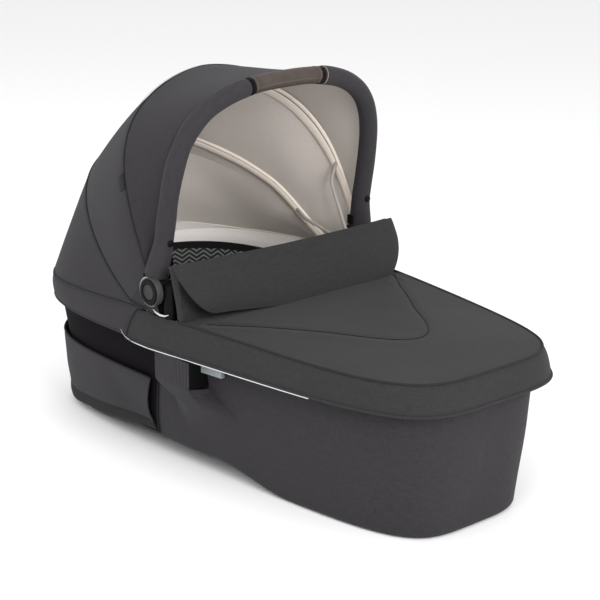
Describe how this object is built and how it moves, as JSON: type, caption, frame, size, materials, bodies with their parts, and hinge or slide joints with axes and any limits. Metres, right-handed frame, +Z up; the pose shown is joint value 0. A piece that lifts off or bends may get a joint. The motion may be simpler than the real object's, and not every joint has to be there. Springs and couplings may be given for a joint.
{
  "type": "carrycot",
  "caption": "Soft-sided carrycot with a folding lined hood, padded carry bow, zip-on apron with wind flap, ventilated head end and pushchair adapters.",
  "frame": {"origin": "on the floor under the middle of the carrycot's length and width", "axes": "+X towards the foot end, +Z up, -Y is the long side that the picture shows"},
  "size_m": [0.8558, 0.44, 0.575],
  "materials": {
    "outer_fabric": "woven heather, matte",
    "lining_fabric": "matte",
    "inner_fabric": "matte, patterned",
    "mesh_fabric": "open mesh, matte",
    "binding": "dense tape, matte",
    "reflective": "silver reflective piping",
    "leatherette": "grained leatherette, satin",
    "black_plastic": "fine grain",
    "hub_plastic": "fine grain",
    "lever_plastic": "satin",
    "base_plastic": "fine grain",
    "aluminium": "satin",
    "steel": "drawn wire"
  },
  "bodies": {
    "tub": {"tub_shell": "outer_fabric", "base_board": "base_plastic", "inner_liner": "inner_fabric", "mattress": "inner_fabric", "rim_frame": "aluminium", "mesh_panel": "mesh_fabric", "vent_hem": "binding", "vent_flap": "outer_fabric", "vent_edge": "binding", "apron_top": "outer_fabric", "apron_skirt": "outer_fabric", "apron_wall": "outer_fabric", "apron_piping": "binding", "bright_piping_left": "reflective", "bright_piping_right": "reflective", "hood_band": "outer_fabric", "adapter_left": "black_plastic", "adapter_right": "black_plastic", "lever_spring_left": "steel", "lever_spring_right": "steel", "side_pillar_left": "outer_fabric", "side_pillar_right": "outer_fabric", "hub_bracket_left": "black_plastic", "hub_bracket_right": "black_plastic", "pivot_pin_left": "steel", "pivot_pin_right": "steel"},
    "bow": {"bow_tube": "aluminium", "bow_sleeve_left": "outer_fabric", "bow_sleeve_right": "outer_fabric", "grip": "leatherette", "grip_ring_left": "black_plastic", "grip_ring_right": "black_plastic", "hub_housing_left": "hub_plastic", "hub_housing_right": "hub_plastic", "button_spring_left": "steel", "button_spring_right": "steel", "snap_stud_left": "black_plastic", "snap_stud_right": "black_plastic", "bow_clip_left": "black_plastic", "bow_clip_right": "black_plastic", "hood_cover_front": "outer_fabric", "hood_lining_front": "lining_fabric"},
    "front_rib": {"rib_front": "steel", "hood_cover_middle": "outer_fabric", "hood_lining_middle": "lining_fabric", "sewn_tag": "binding"},
    "rear_rib": {"rib_rear": "steel", "hood_cover_rear": "outer_fabric", "hood_lining_rear": "lining_fabric"},
    "flap": {"wind_flap": "outer_fabric"},
    "button_left": {"hub_button_left": "hub_plastic"},
    "button_right": {"hub_button_right": "hub_plastic"},
    "lever_left": {"release_lever_left": "lever_plastic"},
    "lever_right": {"release_lever_right": "lever_plastic"}
  },
  "joints": [
    {"name": "rear_rib_fold", "type": "hinge", "parent": "tub", "child": "rear_rib", "pos_m": [-0.0509, 0, 0.276], "axis": [0, -1, 0], "range_deg": [0, 15], "deforming": ["hood_cover_rear", "hood_lining_rear"]},
    {"name": "front_rib_fold", "type": "hinge", "parent": "rear_rib", "child": "front_rib", "pos_m": [-0.0509, 0, 0.276], "axis": [0, -1, 0], "range_deg": [0, 28.01], "deforming": ["hood_cover_middle", "hood_lining_middle"]},
    {"name": "bow_fold", "type": "hinge", "parent": "front_rib", "child": "bow", "pos_m": [-0.0509, 0, 0.276], "axis": [0, -1, 0], "range_deg": [0, 24.01], "deforming": ["hood_cover_front", "hood_lining_front"]},
    {"name": "wind_flap_fold", "type": "hinge", "parent": "tub", "child": "flap", "pos_m": [-0.0044, 0, 0.321], "axis": [0, -1, 0], "range_deg": [0, 150]},
    {"name": "hub_button_left_press", "type": "slide", "parent": "bow", "child": "button_left", "axis": [0, 1, 0], "range_m": [0, 0.003], "stiffness_N_per_m": 300, "deforming": ["button_spring_left"]},
    {"name": "hub_button_right_press", "type": "slide", "parent": "bow", "child": "button_right", "axis": [0, -1, 0], "range_m": [0, 0.003], "stiffness_N_per_m": 300, "deforming": ["button_spring_right"]},
    {"name": "release_lever_left_lift", "type": "slide", "parent": "tub", "child": "lever_left", "axis": [0, 0, 1], "range_m": [0, 0.005], "stiffness_N_per_m": 300, "springref_m": -0.001, "deforming": ["lever_spring_left"]},
    {"name": "release_lever_right_lift", "type": "slide", "parent": "tub", "child": "lever_right", "axis": [0, 0, 1], "range_m": [0, 0.005], "stiffness_N_per_m": 300, "springref_m": -0.001, "deforming": ["lever_spring_right"]}
  ],
  "couplings": [
    {"joint": "front_rib_fold", "follows": "rear_rib_fold", "ratio": 1.8667},
    {"joint": "bow_fold", "follows": "rear_rib_fold", "ratio": 1.6}
  ]
}
